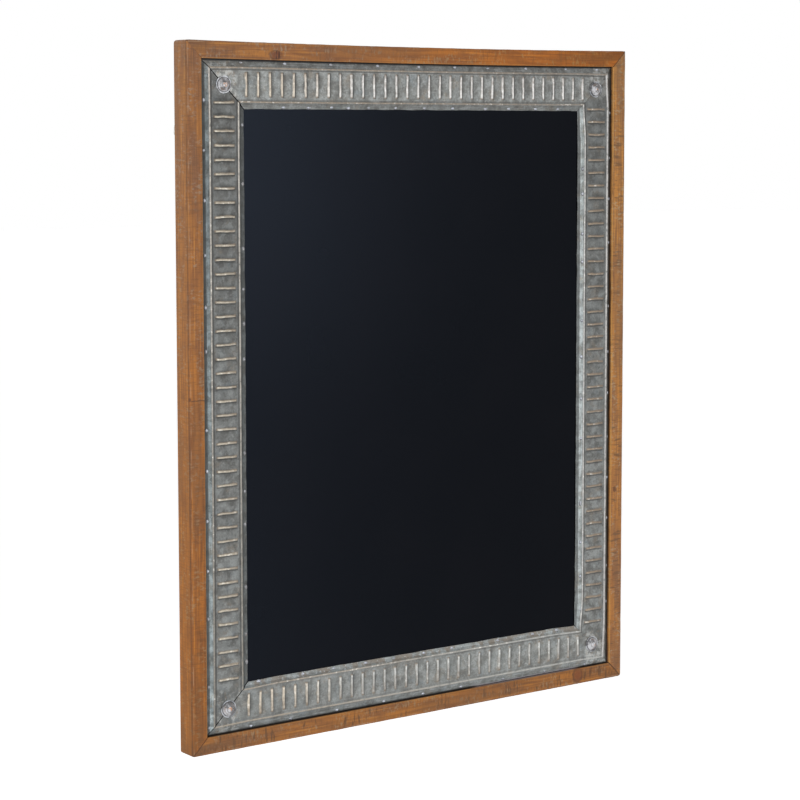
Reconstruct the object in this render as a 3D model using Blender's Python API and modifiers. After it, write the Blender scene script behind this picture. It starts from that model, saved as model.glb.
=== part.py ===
"""Wall chalkboard: a mitred softwood frame, a border of pressed galvanised steel and a black writing panel.

Metres, +Z up. The writing face looks along -Y and the wall is on the +Y side. The origin lies midway
between the two hanging points, on the plane of the rails' backs. A depth is measured from the
timber's front face towards the wall, and an inset from the frame's outer edge towards its middle.
"""

import math

import bmesh
import bpy
from mathutils import Matrix

# The writing opening, and the borders from its edge out to the frame's outer edge
OPENING_WIDTH = 0.4572
OPENING_HEIGHT = 0.6096
RAIL_FACE = 0.019
OUTER_FLANGE = 0.0088
BEAD_SPACING = 0.0356
INNER_FLANGE = 0.0076

# Gaps between neighbouring pieces
WELD = 0.00001
SEAT_GAP = 0.0003
MITRE_GAP = 0.0003
PANEL_EDGE_GAP = 0.0005
STEEL_EDGE_GAP = 0.0007
CUT_OVERRUN = 0.002
SMOOTH_DEGREES = 32

# Timber frame
RAIL_DEPTH = 0.025
LIP_DEPTH = 0.0045
RABBET_WIDTH = 0.005
FRONT_EASE = 0.0014
BACK_EASE = 0.0006
EASE_SEGMENTS = 2
TOP_RAIL_HOLLOW = 0.002
HOLLOW_CUTS = 11

# Writing panel
PANEL_THICKNESS = 0.005

# Pressed steel strips
SHEET = 0.0005
BEAD_TOP_DEPTH = 0.0006
BEAD_HEIGHT = 0.0011
BEAD_WIDTH = 0.0028
STRIP_MITRE_GAP = 0.0006
RIB_PITCH = 0.01487
RIB_LENGTH = 0.0264
RIB_WIDTH = 0.0037
RIB_HEIGHT = 0.001
RIB_DRAFT = 0.00125
RIB_MITRE_CLEAR = 0.0086
RIB_SHIFT_TOP = 0.0025
RIB_SHIFT_BOTTOM = 0.001
RIB_SHIFT_LEFT = 0.0048
RIB_SHIFT_RIGHT = 0.0

# Domed corner nails
NAIL_RIM_RADIUS = 0.0092
NAIL_DOME_RADIUS = 0.0077
NAIL_DOME_HEIGHT = 0.0034
NAIL_RIM_THICKNESS = 0.0005
NAIL_WALL = 0.0009
NAIL_SHANK_RADIUS = 0.0012
NAIL_SHANK_LENGTH = 0.0072
NAIL_TIP_LENGTH = 0.0025
NAIL_HOLE_GAP = 0.0003
NAIL_DOME_DEGREES = (0, 22, 44, 66, 90)
NAIL_HOLLOW_DEGREES = (90, 60, 30)
NAIL_STEPS = 24

# Steel points that keep the panel in the rabbet
POINT_WIDTH = 0.008
POINT_BITE = 0.0065
POINT_TIP = 0.0035
POINT_REACH = 0.009
POINT_THICKNESS = 0.0006
POINT_SHARES_ACROSS = (-0.5, 0.5)
POINT_SHARES_UPRIGHT = (-0.74, -0.26, 0.26, 0.74)

# V-nails across the mitres
V_NAIL_LEG = 0.0042
V_NAIL_THICKNESS = 0.0008
V_NAIL_HEIGHT = 0.010
V_NAIL_INSETS = {"outer": 0.0026, "inner": 0.0078}

# Strap hangers and their rings
HANG_DROP = 0.085
STRAP_INSET = 0.0085
STRAP_WIDTH = 0.009
STRAP_LEAF = 0.0008
STRAP_LENGTH = 0.029
STRAP_END_RADIUS = 0.0035
STRAP_END_SEGMENTS = 4
KNUCKLE_SEGMENTS = 14
RING_WIRE_RADIUS = 0.001
RING_INNER_WIDTH = 0.0115
RING_LEG = 0.0068
RING_CORNER_RADIUS = 0.0014
RING_BORE_GAP = 0.0002
RING_BOW_STEPS = 14
RING_CORNER_STEPS = 3

# Hanger screws
SCREW_HEAD_RADIUS = 0.0027
SCREW_HEAD_HEIGHT = 0.0014
SCREW_HEAD_SHARES = ((0.0, 1.0), (0.55, 0.92), (0.9, 0.6), (1.0, 0.2), (1.0, 0.0))
SCREW_SHANK_RADIUS = 0.0013
SCREW_SHANK_LENGTH = 0.012
SCREW_TIP_LENGTH = 0.004
SCREW_HOLE_GAP = 0.0003
SCREW_DROPS = {"upper": 0.0072, "lower": 0.0215}
SCREW_STEPS = 16

# Rubber bumpers
BUMPER_RADIUS = 0.005
BUMPER_HEIGHT = 0.004
BUMPER_TAPER = 0.0007
BUMPER_ROUND = 0.0008
BUMPER_RISE = 0.032
BUMPER_STEPS = 24

# Places that follow from the sizes above
BEAD_OUTER_INSET = RAIL_FACE + OUTER_FLANGE
BEAD_INNER_INSET = BEAD_OUTER_INSET + BEAD_SPACING
BORDER = BEAD_INNER_INSET + INNER_FLANGE
NAIL_INSET = (BEAD_OUTER_INSET + BEAD_INNER_INSET) / 2
FRAME_WIDTH = OPENING_WIDTH + 2 * BORDER
FRAME_HEIGHT = OPENING_HEIGHT + 2 * BORDER
CENTRE_Z = HANG_DROP - FRAME_HEIGHT / 2
BACK_FACE = RAIL_FACE - RABBET_WIDTH
BOARD_DEPTH = LIP_DEPTH + SEAT_GAP
CHANNEL_DEPTH = BEAD_TOP_DEPTH + BEAD_HEIGHT
STRAP_STACK = 2 * STRAP_LEAF
KNUCKLE_RADIUS = RING_WIRE_RADIUS + RING_BORE_GAP + STRAP_LEAF
PIVOT_Y = SEAT_GAP + KNUCKLE_RADIUS
RING_HALF_WIDTH = RING_INNER_WIDTH / 2 + RING_WIRE_RADIUS
BOW_REACH = RING_LEG + RING_HALF_WIDTH
RING_LEAN = math.asin((PIVOT_Y - SEAT_GAP - RING_WIRE_RADIUS) / BOW_REACH)
PIVOT_Z = RING_WIRE_RADIUS - BOW_REACH * math.cos(RING_LEAN)
STRAP_X = FRAME_WIDTH / 2 - STRAP_INSET

# Each side: the turn about Y from the top side's place, its reach from the middle, and half its outer length
SIDES = {
    "top": (0.0, FRAME_HEIGHT / 2, FRAME_WIDTH / 2),
    "bottom": (math.pi, FRAME_HEIGHT / 2, FRAME_WIDTH / 2),
    "left": (-math.pi / 2, FRAME_WIDTH / 2, FRAME_HEIGHT / 2),
    "right": (math.pi / 2, FRAME_WIDTH / 2, FRAME_HEIGHT / 2),
}
RAIL_NAMES = {
    "top": "frame_rail_top",
    "bottom": "frame_rail_bottom",
    "left": "frame_stile_left",
    "right": "frame_stile_right",
}
# A side's own length runs along +X at the top, -X at the bottom, +Z on the left and -Z on the right
RIB_SHIFTS = {
    "top": RIB_SHIFT_TOP,
    "bottom": -RIB_SHIFT_BOTTOM,
    "left": RIB_SHIFT_LEFT,
    "right": -RIB_SHIFT_RIGHT,
}
CORNERS = {
    "top_left": (-1, 1),
    "top_right": (1, 1),
    "bottom_left": (-1, -1),
    "bottom_right": (1, -1),
}


def y_at(depth):
    """Y of a depth below the timber's front face."""
    return depth - RAIL_DEPTH


# Scene and materials


def clear_scene():
    for old in list(bpy.data.objects):
        bpy.data.objects.remove(old, do_unlink=True)


def new_collection(name, helper=False):
    made = bpy.data.collections.new(name)
    made.hide_render = helper
    bpy.context.scene.collection.children.link(made)
    return made


def finish(name, colour, roughness, metallic):
    """A Principled material."""
    made = bpy.data.materials.new(name)
    made.use_nodes = True
    shader = made.node_tree.nodes["Principled BSDF"]
    shader.inputs["Base Color"].default_value = (*colour, 1.0)
    shader.inputs["Roughness"].default_value = roughness
    shader.inputs["Metallic"].default_value = metallic
    made.diffuse_color = (*colour, 1.0)
    return made


def object_from(name, shape, material=None):
    """An object in the part's collection from a finished bmesh."""
    bmesh.ops.recalc_face_normals(shape, faces=shape.faces)
    mesh = bpy.data.meshes.new(name)
    shape.to_mesh(mesh)
    shape.free()
    made = bpy.data.objects.new(name, mesh)
    PARTS.objects.link(made)
    if material:
        mesh.materials.append(material)
    return made


def added(name):
    """The primitive that was added last, named and moved to the part's collection."""
    made = bpy.context.object
    made.name = name
    for owner in list(made.users_collection):
        owner.objects.unlink(made)
    PARTS.objects.link(made)
    return made


def as_cutter(made, *groups):
    """Turns an object into a hidden cutter of the given groups."""
    PARTS.objects.unlink(made)
    made.hide_render = True
    made.display_type = "WIRE"
    for group in groups:
        group.objects.link(made)


def cut_by(made, group):
    cut = made.modifiers.new("cut", "BOOLEAN")
    cut.operation = "DIFFERENCE"
    cut.solver = "EXACT"
    cut.operand_type = "COLLECTION"
    cut.collection = group


def smooth(made):
    """Shades the mesh smooth between faces that meet at a small angle."""
    made.data.shade_smooth()
    made.data.set_sharp_from_angle(angle=math.radians(SMOOTH_DEGREES))


def place_on_side(made, side):
    made.location = (0.0, 0.0, CENTRE_Z)
    made.rotation_euler = (0.0, SIDES[side][0], 0.0)


# Shapes that several pieces use


def plate(name, outline, low_y, high_y, material=None):
    """A flat plate whose outline lies in X and Z, between two Y planes."""
    shape = bmesh.new()
    corners = [shape.verts.new((x, low_y, z)) for x, z in outline]
    face = shape.faces.new(corners)
    grown = bmesh.ops.extrude_face_region(shape, geom=[face])
    moved = [item for item in grown["geom"] if isinstance(item, bmesh.types.BMVert)]
    bmesh.ops.translate(shape, verts=moved, vec=(0.0, high_y - low_y, 0.0))
    return object_from(name, shape, material)


def turned(name, profile, steps, material):
    """A turned piece: its profile of radius and height points is spun about the object's own Z."""
    shape = bmesh.new()
    points = [shape.verts.new((radius, 0.0, height)) for radius, height in profile]
    for first, second in zip(points, points[1:]):
        shape.edges.new((first, second))
    mesh = bpy.data.meshes.new(name)
    shape.to_mesh(mesh)
    shape.free()
    made = bpy.data.objects.new(name, mesh)
    PARTS.objects.link(made)
    mesh.materials.append(material)
    spin = made.modifiers.new("turn", "SCREW")
    spin.axis = "Z"
    spin.steps = steps
    spin.render_steps = steps
    spin.use_merge_vertices = True
    spin.merge_threshold = WELD
    spin.use_smooth_shade = True
    return made


def drill(name, radius, centre_x, centre_z, low_y, high_y, *groups):
    """A cutter along Y."""
    bpy.ops.mesh.primitive_cylinder_add(
        vertices=SCREW_STEPS,
        radius=radius,
        depth=high_y - low_y,
        location=(centre_x, (low_y + high_y) / 2, centre_z),
        rotation=(math.pi / 2, 0.0, 0.0),
    )
    as_cutter(added(name), *groups)


# Timber frame


def rail(side, material):
    """One rail with its rabbet and its eased arrises, mitred at both ends."""
    _, reach, half_span = SIDES[side]
    outline = (
        (0.0, y_at(0.0)),
        (RAIL_FACE, y_at(0.0)),
        (RAIL_FACE, y_at(LIP_DEPTH)),
        (BACK_FACE, y_at(LIP_DEPTH)),
        (BACK_FACE, 0.0),
        (0.0, 0.0),
    )
    ease = (FRONT_EASE, FRONT_EASE, 0.0, 0.0, BACK_EASE, BACK_EASE)
    mitre_inset = MITRE_GAP / math.sqrt(2)
    shape = bmesh.new()
    near = [shape.verts.new((inset + mitre_inset - half_span, y, reach - inset)) for inset, y in outline]
    face = shape.faces.new(near)
    grown = bmesh.ops.extrude_face_region(shape, geom=[face])
    for far in grown["geom"]:
        if isinstance(far, bmesh.types.BMVert):
            far.co.x = -far.co.x
    weights = shape.edges.layers.float.new("bevel_weight_edge")
    for corner, radius in zip(near, ease):
        for edge in corner.link_edges:
            if edge.other_vert(corner).co.x * corner.co.x < 0.0:
                edge[weights] = radius / max(ease)
    if side == "top":
        hollow_outer_edge(shape, reach, half_span)
    made = object_from(RAIL_NAMES[side], shape, material)
    bevel = made.modifiers.new("eased arrises", "BEVEL")
    bevel.width = max(ease)
    bevel.segments = EASE_SEGMENTS
    bevel.limit_method = "WEIGHT"
    place_on_side(made, side)
    cut_by(made, RAIL_CUTTERS[side])
    smooth(made)


def hollow_outer_edge(shape, reach, half_span):
    """Bows the rail's outer edge in a little towards mid-span, as the planed edge of the real one is."""
    for step in range(1, HOLLOW_CUTS + 1):
        share = 2 * step / (HOLLOW_CUTS + 1) - 1
        everything = shape.verts[:] + shape.edges[:] + shape.faces[:]
        bmesh.ops.bisect_plane(shape, geom=everything, plane_co=(share * half_span, 0, 0), plane_no=(1, 0, 0))
    for vert in shape.verts:
        if vert.co.z > reach - BACK_EASE:
            vert.co.z -= TOP_RAIL_HOLLOW * max(0.0, 1 - (vert.co.x / half_span) ** 2)


# Pressed steel strips


def rib_places(half_span):
    """How far along the strip each rib's middle lies, before the strip's own shift."""
    first = NAIL_INSET + RIB_LENGTH / 2 + RIB_MITRE_CLEAR
    pitches = math.floor(2 * (half_span - first) / RIB_PITCH)
    return [(number - pitches / 2) * RIB_PITCH for number in range(pitches + 1)]


def steel_strip(side, material):
    """A strip as the press leaves it: a sheet folded to its profile, then ribs raised across its channel."""
    _, reach, half_span = SIDES[side]
    foot_depth = BOARD_DEPTH - SEAT_GAP - SHEET
    rib_outer_inset = NAIL_INSET - RIB_LENGTH / 2
    rib_inner_inset = NAIL_INSET + RIB_LENGTH / 2
    profile = (
        (RAIL_FACE + STEEL_EDGE_GAP, foot_depth),
        (BEAD_OUTER_INSET - BEAD_WIDTH / 2, CHANNEL_DEPTH),
        (BEAD_OUTER_INSET, BEAD_TOP_DEPTH),
        (BEAD_OUTER_INSET + BEAD_WIDTH / 2, CHANNEL_DEPTH),
        (rib_outer_inset, CHANNEL_DEPTH),
        (rib_inner_inset, CHANNEL_DEPTH),
        (BEAD_INNER_INSET - BEAD_WIDTH / 2, CHANNEL_DEPTH),
        (BEAD_INNER_INSET, BEAD_TOP_DEPTH),
        (BEAD_INNER_INSET + BEAD_WIDTH / 2, CHANNEL_DEPTH),
        (BORDER, foot_depth),
    )
    mitre_inset = STRIP_MITRE_GAP / math.sqrt(2)
    shape = bmesh.new()
    fold = [
        shape.verts.new((inset + mitre_inset - half_span, y_at(depth), reach - inset))
        for inset, depth in profile
    ]
    folds = [shape.edges.new(pair) for pair in zip(fold, fold[1:])]
    grown = bmesh.ops.extrude_edge_only(shape, edges=folds)
    for far in grown["geom"]:
        if isinstance(far, bmesh.types.BMVert):
            far.co.x = -far.co.x
    shape.normal_update()
    if any(face.normal.y > 0 for face in shape.faces):
        bmesh.ops.reverse_faces(shape, faces=shape.faces)
    press_ribs(shape, reach, half_span, RIB_SHIFTS[side])
    made = object_from_sheet(f"steel_strip_{side}", shape, material)
    place_on_side(made, side)
    cut_by(made, NAIL_CUTTERS)
    smooth(made)


def press_ribs(shape, reach, half_span, shift):
    """Scores the channel's middle band on both sides of each rib, then raises the band between the scores."""
    middle = reach - NAIL_INSET
    places = [place + shift for place in rib_places(half_span)]
    for place in places:
        for edge_x in (place - RIB_WIDTH / 2, place + RIB_WIDTH / 2):
            band = [face for face in shape.faces if abs(face.calc_center_median().z - middle) < RIB_WIDTH]
            around = {item for face in band for item in (*face.verts, *face.edges, face)}
            bmesh.ops.bisect_plane(shape, geom=list(around), plane_co=(edge_x, 0, 0), plane_no=(1, 0, 0))
    ribs = []
    for face in shape.faces:
        centre = face.calc_center_median()
        if abs(centre.z - middle) < RIB_WIDTH and any(abs(centre.x - place) < RIB_DRAFT for place in places):
            ribs.append(face)
    bmesh.ops.inset_individual(shape, faces=ribs, thickness=RIB_DRAFT, depth=RIB_HEIGHT, use_even_offset=True)


def object_from_sheet(name, shape, material):
    """A sheet with its thickness laid on behind it."""
    mesh = bpy.data.meshes.new(name)
    shape.to_mesh(mesh)
    shape.free()
    mesh.materials.append(material)
    made = bpy.data.objects.new(name, mesh)
    PARTS.objects.link(made)
    wall = made.modifiers.new("sheet", "SOLIDIFY")
    wall.thickness = SHEET
    wall.offset = -1.0
    wall.use_even_offset = True
    return made


# Corner nails


def corner_nail(corner, material):
    """A pressed dome on a thin rim, hollow behind, its shank driven through the mitre into the panel."""
    sign_x, sign_z = CORNERS[corner]
    inner_radius = NAIL_DOME_RADIUS - NAIL_WALL
    inner_height = NAIL_RIM_THICKNESS + NAIL_DOME_HEIGHT - NAIL_WALL
    outside = []
    for angle in map(math.radians, NAIL_DOME_DEGREES):
        height = NAIL_RIM_THICKNESS + NAIL_DOME_HEIGHT * math.cos(angle)
        outside.append((NAIL_DOME_RADIUS * math.sin(angle), height))
    hollow = []
    for angle in map(math.radians, NAIL_HOLLOW_DEGREES):
        hollow.append((inner_radius * math.sin(angle), inner_height * math.cos(angle)))
    shank = [
        (NAIL_SHANK_RADIUS, hollow[-1][1]),
        (NAIL_SHANK_RADIUS, NAIL_TIP_LENGTH - NAIL_SHANK_LENGTH),
        (0.0, -NAIL_SHANK_LENGTH),
    ]
    rim = [(NAIL_RIM_RADIUS, NAIL_RIM_THICKNESS), (NAIL_RIM_RADIUS, 0.0)]
    profile = [*outside, *rim, *hollow, *shank]
    made = turned(f"corner_nail_{corner}", profile, NAIL_STEPS, material)
    centre_x = sign_x * (FRAME_WIDTH / 2 - NAIL_INSET)
    centre_z = CENTRE_Z + sign_z * (FRAME_HEIGHT / 2 - NAIL_INSET)
    seat_depth = CHANNEL_DEPTH - SEAT_GAP
    made.location = (centre_x, y_at(seat_depth), centre_z)
    made.rotation_euler = (math.pi / 2, 0.0, 0.0)
    drill(
        f"nail_hole_{corner}",
        NAIL_SHANK_RADIUS + NAIL_HOLE_GAP,
        centre_x,
        centre_z,
        y_at(0.0) - CUT_OVERRUN,
        y_at(seat_depth + NAIL_SHANK_LENGTH + NAIL_HOLE_GAP),
        NAIL_CUTTERS,
    )


# Writing panel and the points that hold it


def chalkboard_panel(material):
    bpy.ops.mesh.primitive_cube_add(size=1)
    made = added("chalkboard_panel")
    edge = BACK_FACE + PANEL_EDGE_GAP
    sides = (FRAME_WIDTH - 2 * edge, PANEL_THICKNESS, FRAME_HEIGHT - 2 * edge)
    made.data.transform(Matrix.Diagonal((*sides, 1.0)))
    made.location = (0.0, y_at(BOARD_DEPTH + PANEL_THICKNESS / 2), CENTRE_Z)
    made.data.materials.append(material)
    cut_by(made, NAIL_CUTTERS)


def point_outline(side, share, grow, back):
    """A point's outline: its tip lies in the rail and its tail over the panel."""
    _, reach, half_span = SIDES[side]
    middle = share * half_span
    half = POINT_WIDTH / 2 + grow
    wall = reach - BACK_FACE
    return (
        (middle, wall + POINT_BITE + grow),
        (middle - half, wall + POINT_BITE - POINT_TIP),
        (middle - half, wall - back),
        (middle + half, wall - back),
        (middle + half, wall + POINT_BITE - POINT_TIP),
    )


def panel_points(side, shares, material):
    low_y = y_at(BOARD_DEPTH + PANEL_THICKNESS + SEAT_GAP)
    high_y = low_y + POINT_THICKNESS
    for number, share in enumerate(shares, 1):
        made = plate(
            f"panel_point_{side}_{number}",
            point_outline(side, share, 0.0, POINT_REACH),
            low_y,
            high_y,
            material,
        )
        place_on_side(made, side)
        slot = plate(
            f"point_slot_{side}_{number}",
            point_outline(side, share, SEAT_GAP, CUT_OVERRUN),
            low_y - SEAT_GAP,
            high_y + SEAT_GAP,
        )
        place_on_side(slot, side)
        as_cutter(slot, RAIL_CUTTERS[side])


# V-nails


def v_outline(corner, inset, grow):
    """A V-nail's outline: its apex lies on the mitre and one leg in each rail."""
    sign_x, sign_z = CORNERS[corner]
    leg = V_NAIL_LEG + grow
    wall = V_NAIL_THICKNESS + grow
    legs = ((-grow, -grow), (leg, -grow), (leg, wall), (wall, wall), (wall, leg), (-grow, leg))
    return [
        (
            sign_x * (FRAME_WIDTH / 2 - inset - along_x),
            CENTRE_Z + sign_z * (FRAME_HEIGHT / 2 - inset - along_z),
        )
        for along_x, along_z in legs
    ]


def v_nails(corner, material):
    sign_x, sign_z = CORNERS[corner]
    rails = (
        RAIL_CUTTERS["top" if sign_z > 0 else "bottom"],
        RAIL_CUTTERS["right" if sign_x > 0 else "left"],
    )
    for place, inset in V_NAIL_INSETS.items():
        name = f"v_nail_{corner}_{place}"
        plate(name, v_outline(corner, inset, 0.0), -V_NAIL_HEIGHT, 0.0, material)
        pocket = plate(
            f"pocket_{corner}_{place}",
            v_outline(corner, inset, SEAT_GAP),
            -V_NAIL_HEIGHT - SEAT_GAP,
            CUT_OVERRUN,
        )
        as_cutter(pocket, *rails)


# Hangers


def hanger_strap(side, sign_x, material):
    """A strip folded round the ring's bar, both leaves lying on the stile's back."""
    low = SEAT_GAP
    high = SEAT_GAP + STRAP_STACK
    arc_end = math.pi + math.asin((KNUCKLE_RADIUS - STRAP_STACK) / KNUCKLE_RADIUS)
    outline = [(low, PIVOT_Z - STRAP_LENGTH)]
    for step in range(KNUCKLE_SEGMENTS + 1):
        angle = -math.pi / 2 + (arc_end + math.pi / 2) * step / KNUCKLE_SEGMENTS
        outline.append(
            (PIVOT_Y + KNUCKLE_RADIUS * math.sin(angle), PIVOT_Z + KNUCKLE_RADIUS * math.cos(angle))
        )
    outline.append((high, PIVOT_Z - STRAP_LENGTH))
    shape = bmesh.new()
    left_x = sign_x * STRAP_X - STRAP_WIDTH / 2
    face = shape.faces.new([shape.verts.new((left_x, y, z)) for y, z in outline])
    grown = bmesh.ops.extrude_face_region(shape, geom=[face])
    moved = [item for item in grown["geom"] if isinstance(item, bmesh.types.BMVert)]
    bmesh.ops.translate(shape, verts=moved, vec=(STRAP_WIDTH, 0.0, 0.0))
    end_z = PIVOT_Z - STRAP_LENGTH
    ends = [
        edge
        for edge in shape.edges
        if all(abs(vert.co.z - end_z) < SEAT_GAP for vert in edge.verts)
        and abs(edge.verts[0].co.x - edge.verts[1].co.x) < SEAT_GAP
    ]
    bmesh.ops.bevel(
        shape, geom=ends, offset=STRAP_END_RADIUS, segments=STRAP_END_SEGMENTS, profile=0.5, affect="EDGES"
    )
    made = object_from(f"hanger_strap_{side}", shape, material)
    cut_by(made, STRAP_CUTTERS[side])
    smooth(made)
    bpy.ops.mesh.primitive_cylinder_add(
        vertices=SCREW_STEPS,
        radius=RING_WIRE_RADIUS + RING_BORE_GAP,
        depth=STRAP_WIDTH + 2 * CUT_OVERRUN,
        location=(sign_x * STRAP_X, PIVOT_Y, PIVOT_Z),
        rotation=(0.0, math.pi / 2, 0.0),
    )
    as_cutter(added(f"ring_bore_{side}"), STRAP_CUTTERS[side])


def ring_path():
    """The D: the right end of its straight bar, up round the bow and down to the bar's left end."""
    corner = RING_CORNER_RADIUS
    half = RING_HALF_WIDTH
    right = [(half - corner, 0.0)]
    for step in range(1, RING_CORNER_STEPS + 1):
        angle = math.pi / 2 * step / RING_CORNER_STEPS
        right.append((half - corner + corner * math.sin(angle), corner * (1 - math.cos(angle))))
    for step in range(RING_BOW_STEPS + 1):
        angle = math.pi / 2 * (1 - step / RING_BOW_STEPS)
        right.append((half * math.sin(angle), RING_LEG + half * math.cos(angle)))
    left = [(-x, z) for x, z in reversed(right[:-1])]
    return right + left


def hanger_ring(side, sign_x, material):
    """The D-ring: a closed loop of wire, its bar in the strap's knuckle and its bow up against the stile."""
    name = f"hanger_ring_{side}"
    curve = bpy.data.curves.new(name, "CURVE")
    curve.dimensions = "3D"
    curve.bevel_depth = RING_WIRE_RADIUS
    curve.bevel_resolution = 1
    path = ring_path()
    spline = curve.splines.new("POLY")
    spline.points.add(len(path) - 1)
    for point, (x, z) in zip(spline.points, path):
        point.co = (x, 0.0, z, 1.0)
    spline.use_cyclic_u = True
    curve.materials.append(material)
    made = bpy.data.objects.new(name, curve)
    PARTS.objects.link(made)
    made.location = (sign_x * STRAP_X, PIVOT_Y, PIVOT_Z)
    made.rotation_euler = (RING_LEAN, 0.0, 0.0)


def hanger_screws(side, sign_x, material):
    """Pan-head screws through the strap into the stile."""
    seat = SEAT_GAP + STRAP_STACK + SEAT_GAP
    head = [(out * SCREW_HEAD_RADIUS, up * SCREW_HEAD_HEIGHT) for out, up in SCREW_HEAD_SHARES]
    shank = (
        (SCREW_SHANK_RADIUS, 0.0),
        (SCREW_SHANK_RADIUS, SCREW_TIP_LENGTH - SCREW_SHANK_LENGTH),
        (0.0, -SCREW_SHANK_LENGTH),
    )
    profile = (*head, *shank)
    for place, drop in SCREW_DROPS.items():
        made = turned(f"hanger_screw_{side}_{place}", profile, SCREW_STEPS, material)
        made.location = (sign_x * STRAP_X, seat, PIVOT_Z - drop)
        made.rotation_euler = (-math.pi / 2, 0.0, 0.0)
        drill(
            f"screw_hole_{side}_{place}",
            SCREW_SHANK_RADIUS + SCREW_HOLE_GAP,
            sign_x * STRAP_X,
            PIVOT_Z - drop,
            seat - SCREW_SHANK_LENGTH - SCREW_HOLE_GAP,
            seat + CUT_OVERRUN,
            RAIL_CUTTERS[side],
            STRAP_CUTTERS[side],
        )


def bumper(side, sign_x, material):
    """A moulded rubber button stuck to the stile's back."""
    profile = (
        (0.0, BUMPER_HEIGHT),
        (BUMPER_RADIUS - BUMPER_TAPER - BUMPER_ROUND, BUMPER_HEIGHT),
        (BUMPER_RADIUS - BUMPER_TAPER, BUMPER_HEIGHT - BUMPER_ROUND),
        (BUMPER_RADIUS, 0.0),
        (0.0, 0.0),
    )
    made = turned(f"bumper_{side}", profile, BUMPER_STEPS, material)
    made.location = (
        sign_x * (FRAME_WIDTH / 2 - BACK_FACE / 2),
        SEAT_GAP,
        CENTRE_Z - FRAME_HEIGHT / 2 + BUMPER_RISE,
    )
    made.rotation_euler = (-math.pi / 2, 0.0, 0.0)


# The chalkboard, piece by piece

clear_scene()
PARTS = new_collection("wall_chalkboard")
NAIL_CUTTERS = new_collection("nail_cutters", helper=True)
RAIL_CUTTERS = {side: new_collection(f"rail_cutters_{side}", helper=True) for side in SIDES}
STRAP_CUTTERS = {side: new_collection(f"strap_cutters_{side}", helper=True) for side in ("left", "right")}

timber = finish("stained_softwood", (0.27, 0.125, 0.053), 0.65, 0.0)
zinc = finish("galvanised_steel", (0.25, 0.25, 0.235), 0.5, 0.85)
nail_steel = finish("nail_steel", (0.24, 0.23, 0.22), 0.42, 0.9)
slate_paint = finish("chalkboard_black", (0.009, 0.010, 0.014), 0.38, 0.0)
bright_steel = finish("bright_steel", (0.50, 0.50, 0.49), 0.35, 1.0)
hanger_steel = finish("nickelled_steel", (0.56, 0.54, 0.50), 0.28, 1.0)
rubber = finish("black_rubber", (0.02, 0.02, 0.02), 0.8, 0.0)

for corner_name in CORNERS:
    corner_nail(corner_name, nail_steel)
    v_nails(corner_name, bright_steel)
for side_name in ("top", "bottom"):
    panel_points(side_name, POINT_SHARES_ACROSS, bright_steel)
for side_name in ("left", "right"):
    panel_points(side_name, POINT_SHARES_UPRIGHT, bright_steel)
for side_name, sign in (("left", -1), ("right", 1)):
    hanger_screws(side_name, sign, hanger_steel)
    hanger_strap(side_name, sign, hanger_steel)
    hanger_ring(side_name, sign, hanger_steel)
    bumper(side_name, sign, rubber)
for side_name in SIDES:
    rail(side_name, timber)
    steel_strip(side_name, zinc)
chalkboard_panel(slate_paint)
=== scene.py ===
# Wall chalkboard: a rustic softwood frame round a border of pressed galvanised steel and a black writing
# panel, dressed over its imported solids. Metres, +Z up; the writing face looks along -Y, the wall is at +Y.
import math

import bmesh
import bpy
from mathutils import Matrix, Vector, noise


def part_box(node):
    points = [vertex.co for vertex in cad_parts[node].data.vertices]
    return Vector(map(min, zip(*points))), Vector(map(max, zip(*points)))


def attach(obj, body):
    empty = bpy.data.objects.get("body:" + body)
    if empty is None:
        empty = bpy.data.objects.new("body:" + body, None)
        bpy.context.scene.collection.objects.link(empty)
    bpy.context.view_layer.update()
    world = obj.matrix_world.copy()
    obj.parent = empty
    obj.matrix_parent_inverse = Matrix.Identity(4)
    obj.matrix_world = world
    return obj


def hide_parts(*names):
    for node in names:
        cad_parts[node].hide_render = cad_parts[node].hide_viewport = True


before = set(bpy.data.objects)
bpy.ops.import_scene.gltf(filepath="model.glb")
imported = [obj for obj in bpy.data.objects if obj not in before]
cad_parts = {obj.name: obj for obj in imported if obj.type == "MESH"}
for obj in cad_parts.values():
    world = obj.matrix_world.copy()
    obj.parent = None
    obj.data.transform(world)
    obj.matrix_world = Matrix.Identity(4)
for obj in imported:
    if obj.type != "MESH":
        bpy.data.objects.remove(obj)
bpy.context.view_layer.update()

# Timber frame: two rails and two stiles of rustic softwood, planed by hand, mitred and stained orange-brown.
# Each is a copy of its solid, whose back has the pockets for the fasteners, cut across every few
# millimetres so that its arrises can waver as hand-planed ones do.
RAIL_NODES = {
    "top": "frame_rail_top",
    "bottom": "frame_rail_bottom",
    "left": "frame_stile_left",
    "right": "frame_stile_right",
}
ARRIS_CUT = 0.006
ARRIS_WEAR = 0.00045
ARRIS_WAVE = 0.018
ARRIS_REACH = 0.0025
CORNER_CUTS = (0.0006, 0.0012, 0.0020, 0.0030, 0.0045)
FRAME_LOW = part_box(RAIL_NODES["bottom"])[0]
FRAME_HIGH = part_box(RAIL_NODES["top"])[1]
HALF_WIDTH = FRAME_HIGH.x
HALF_HEIGHT = (FRAME_HIGH.z - FRAME_LOW.z) / 2
CENTRE_Z = (FRAME_HIGH.z + FRAME_LOW.z) / 2
FRONT_Y = FRAME_LOW.y
RAIL_FACE = 0.019
LIP_DEPTH = 0.0046
# The growth rings' pith lies outside the rail: how far past its outer edge, and how far behind its face
PITH_INSET = 0.022
PITH_DEPTH = 0.048
RING_PITCH = 0.0036
# How far each side's inner arris bows toward the board, and how far a tight mitre closes its gap
INNER_BOWS = {"top": 0.0014, "bottom": 0.0, "left": 0.0003, "right": 0.0}
MITRE_CLOSED = 0.00028
MITRE_EDGE = 0.0004

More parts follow.
